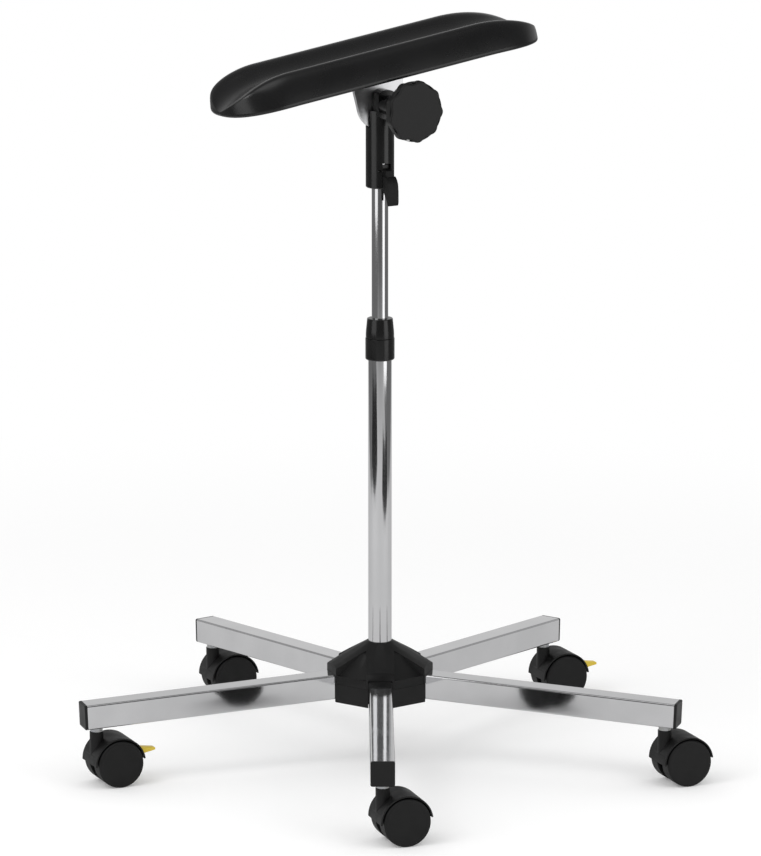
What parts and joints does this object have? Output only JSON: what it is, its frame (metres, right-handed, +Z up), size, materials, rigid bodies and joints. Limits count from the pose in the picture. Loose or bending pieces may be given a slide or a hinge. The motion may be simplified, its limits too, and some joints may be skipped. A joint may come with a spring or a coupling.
{
  "type": "tattoo arm rest stand",
  "caption": "Rolling arm rest stand for tattoo work: star base on twin-wheel casters, telescopic column, and a tilting, grooved foam arm pad held by a clamp knob.",
  "frame": {"origin": "on the floor, at the column's axis", "axes": "+Z up along the column, +X along the arm pad towards its raised end, the clamp knob faces -Y"},
  "size_m": [0.6771, 0.6393, 0.7937],
  "materials": {
    "leg_chrome": "satin chrome on steel tube",
    "column_chrome": "bright chrome",
    "bracket_chrome": "bright chrome",
    "zinc_steel": "zinc plated",
    "core_steel": "black paint over weld",
    "hub_plastic": "fine satin grain",
    "clutch_plastic": "semi gloss",
    "head_plastic": "semi gloss",
    "knob_plastic": "satin",
    "natural_plastic": "natural nylon",
    "pin_steel": "black oxide",
    "shoe_nylon": "black nylon",
    "fibre": "black vulcanised fibre",
    "board": "dark stained plywood",
    "pad_skin": "moulded foam skin, fine leather grain",
    "hood_plastic": "semi gloss",
    "wheel_plastic": "satin nylon",
    "pedal_plastic": "yellow moulded plastic"
  },
  "bodies": {
    "base": {"leg_1": "leg_chrome", "leg_2": "leg_chrome", "leg_3": "leg_chrome", "leg_4": "leg_chrome", "leg_5": "leg_chrome", "leg_end_caps": "hub_plastic", "stem_sockets": "zinc_steel", "caster_stems": "zinc_steel", "hub_core": "core_steel", "hub_body": "hub_plastic", "hub_cover": "hub_plastic", "column_bolt": "zinc_steel", "foot_plug": "zinc_steel", "lower_tube": "column_chrome", "clutch_body": "clutch_plastic", "clutch_collet": "natural_plastic"},
    "nut": {"clutch_nut": "clutch_plastic"},
    "mast": {"upper_tube": "column_chrome", "guide_bush": "natural_plastic"},
    "head": {"head_sleeve": "head_plastic", "clamp_shoe": "shoe_nylon", "lever_pin": "pin_steel", "captive_nut": "zinc_steel", "knob_washer": "zinc_steel"},
    "lever": {"cam_lever": "head_plastic"},
    "pad": {"tilt_plate": "bracket_chrome", "pad_flange": "bracket_chrome", "friction_washers": "fibre", "pad_screws": "zinc_steel", "pad_board": "board", "t_nuts": "zinc_steel", "arm_pad": "pad_skin"},
    "knob": {"clamp_knob": "knob_plastic", "tilt_stud": "zinc_steel"},
    "swivel_1": {"caster_hood_1": "hood_plastic", "caster_axle_1": "zinc_steel"},
    "left_roller_1": {"left_wheel_1": "wheel_plastic"},
    "right_roller_1": {"right_wheel_1": "wheel_plastic"},
    "swivel_2": {"caster_hood_2": "hood_plastic", "caster_axle_2": "zinc_steel"},
    "left_roller_2": {"left_wheel_2": "wheel_plastic"},
    "right_roller_2": {"right_wheel_2": "wheel_plastic"},
    "swivel_3": {"caster_hood_3": "hood_plastic", "caster_axle_3": "zinc_steel"},
    "left_roller_3": {"left_wheel_3": "wheel_plastic"},
    "right_roller_3": {"right_wheel_3": "wheel_plastic"},
    "brake_3": {"brake_pedal_3": "pedal_plastic"},
    "swivel_4": {"caster_hood_4": "hood_plastic", "caster_axle_4": "zinc_steel"},
    "left_roller_4": {"left_wheel_4": "wheel_plastic"},
    "right_roller_4": {"right_wheel_4": "wheel_plastic"},
    "swivel_5": {"caster_hood_5": "hood_plastic", "caster_axle_5": "zinc_steel"},
    "left_roller_5": {"left_wheel_5": "wheel_plastic"},
    "right_roller_5": {"right_wheel_5": "wheel_plastic"},
    "brake_5": {"brake_pedal_5": "pedal_plastic"}
  },
  "joints": [
    {"name": "clutch_turn", "type": "hinge", "parent": "base", "child": "nut", "pos_m": [0, 0, 0.47], "axis": [0, 0, 1], "range_deg": [0, 120]},
    {"name": "mast_slide", "type": "slide", "parent": "base", "child": "mast", "axis": [0, 0, 1], "range_m": [-0.125, 0.18]},
    {"name": "head_swivel", "type": "hinge", "parent": "mast", "child": "head", "pos_m": [0, 0, 0.66], "axis": [0, 0, 1], "continuous": true},
    {"name": "lever_turn", "type": "hinge", "parent": "head", "child": "lever", "pos_m": [0, -0.0129, 0.641], "axis": [-1, 0, 0], "range_deg": [0, 50]},
    {"name": "pad_tilt", "type": "hinge", "parent": "head", "child": "pad", "pos_m": [0, 0, 0.711], "axis": [0, 1, 0], "range_deg": [-51.1, 68.9]},
    {"name": "knob_turn", "type": "hinge", "parent": "head", "child": "knob", "pos_m": [0, -0.06, 0.711], "axis": [0, -1, 0], "continuous": true},
    {"name": "swivel_1_turn", "type": "hinge", "parent": "base", "child": "swivel_1", "pos_m": [-0.15487, -0.27373, 0.05], "axis": [0, 0, 1], "continuous": true},
    {"name": "left_wheel_1_roll", "type": "hinge", "parent": "swivel_1", "child": "left_roller_1", "pos_m": [-0.13573, -0.27745, 0.025], "axis": [0.1908, 0.9816, 0], "continuous": true},
    {"name": "right_wheel_1_roll", "type": "hinge", "parent": "swivel_1", "child": "right_roller_1", "pos_m": [-0.13573, -0.27745, 0.025], "axis": [0.1908, 0.9816, 0], "continuous": true},
    {"name": "swivel_2_turn", "type": "hinge", "parent": "base", "child": "swivel_2", "pos_m": [0.21247, -0.23187, 0.05], "axis": [0, 0, 1], "continuous": true},
    {"name": "left_wheel_2_roll", "type": "hinge", "parent": "swivel_2", "child": "left_roller_2", "pos_m": [0.23178, -0.23459, 0.025], "axis": [0.1392, 0.9903, 0], "continuous": true},
    {"name": "right_wheel_2_roll", "type": "hinge", "parent": "swivel_2", "child": "right_roller_2", "pos_m": [0.23178, -0.23459, 0.025], "axis": [0.1392, 0.9903, 0], "continuous": true},
    {"name": "swivel_3_turn", "type": "hinge", "parent": "base", "child": "swivel_3", "pos_m": [0.28618, 0.13042, 0.05], "axis": [0, 0, 1], "continuous": true},
    {"name": "left_wheel_3_roll", "type": "hinge", "parent": "swivel_3", "child": "left_roller_3", "pos_m": [0.30556, 0.12821, 0.025], "axis": [0.1132, 0.9936, 0], "continuous": true},
    {"name": "right_wheel_3_roll", "type": "hinge", "parent": "swivel_3", "child": "right_roller_3", "pos_m": [0.30556, 0.12821, 0.025], "axis": [0.1132, 0.9936, 0], "continuous": true},
    {"name": "brake_3_press", "type": "hinge", "parent": "swivel_3", "child": "brake_3", "pos_m": [0.31748, 0.12685, 0.033], "axis": [0.1132, 0.9936, 0], "range_deg": [0, 18]},
    {"name": "swivel_4_turn", "type": "hinge", "parent": "base", "child": "swivel_4", "pos_m": [-0.0356, 0.31248, 0.05], "axis": [0, 0, 1], "continuous": true},
    {"name": "left_wheel_4_roll", "type": "hinge", "parent": "swivel_4", "child": "left_roller_4", "pos_m": [-0.01621, 0.31044, 0.025], "axis": [0.1045, 0.9945, 0], "continuous": true},
    {"name": "right_wheel_4_roll", "type": "hinge", "parent": "swivel_4", "child": "right_roller_4", "pos_m": [-0.01621, 0.31044, 0.025], "axis": [0.1045, 0.9945, 0], "continuous": true},
    {"name": "swivel_5_turn", "type": "hinge", "parent": "base", "child": "swivel_5", "pos_m": [-0.30819, 0.0627, 0.05], "axis": [0, 0, 1], "continuous": true},
    {"name": "left_wheel_5_roll", "type": "hinge", "parent": "swivel_5", "child": "left_roller_5", "pos_m": [-0.28879, 0.06066, 0.025], "axis": [0.1045, 0.9945, 0], "continuous": true},
    {"name": "right_wheel_5_roll", "type": "hinge", "parent": "swivel_5", "child": "right_roller_5", "pos_m": [-0.28879, 0.06066, 0.025], "axis": [0.1045, 0.9945, 0], "continuous": true},
    {"name": "brake_5_press", "type": "hinge", "parent": "swivel_5", "child": "brake_5", "pos_m": [-0.27686, 0.05941, 0.033], "axis": [0.1045, 0.9945, 0], "range_deg": [0, 18]}
  ]
}
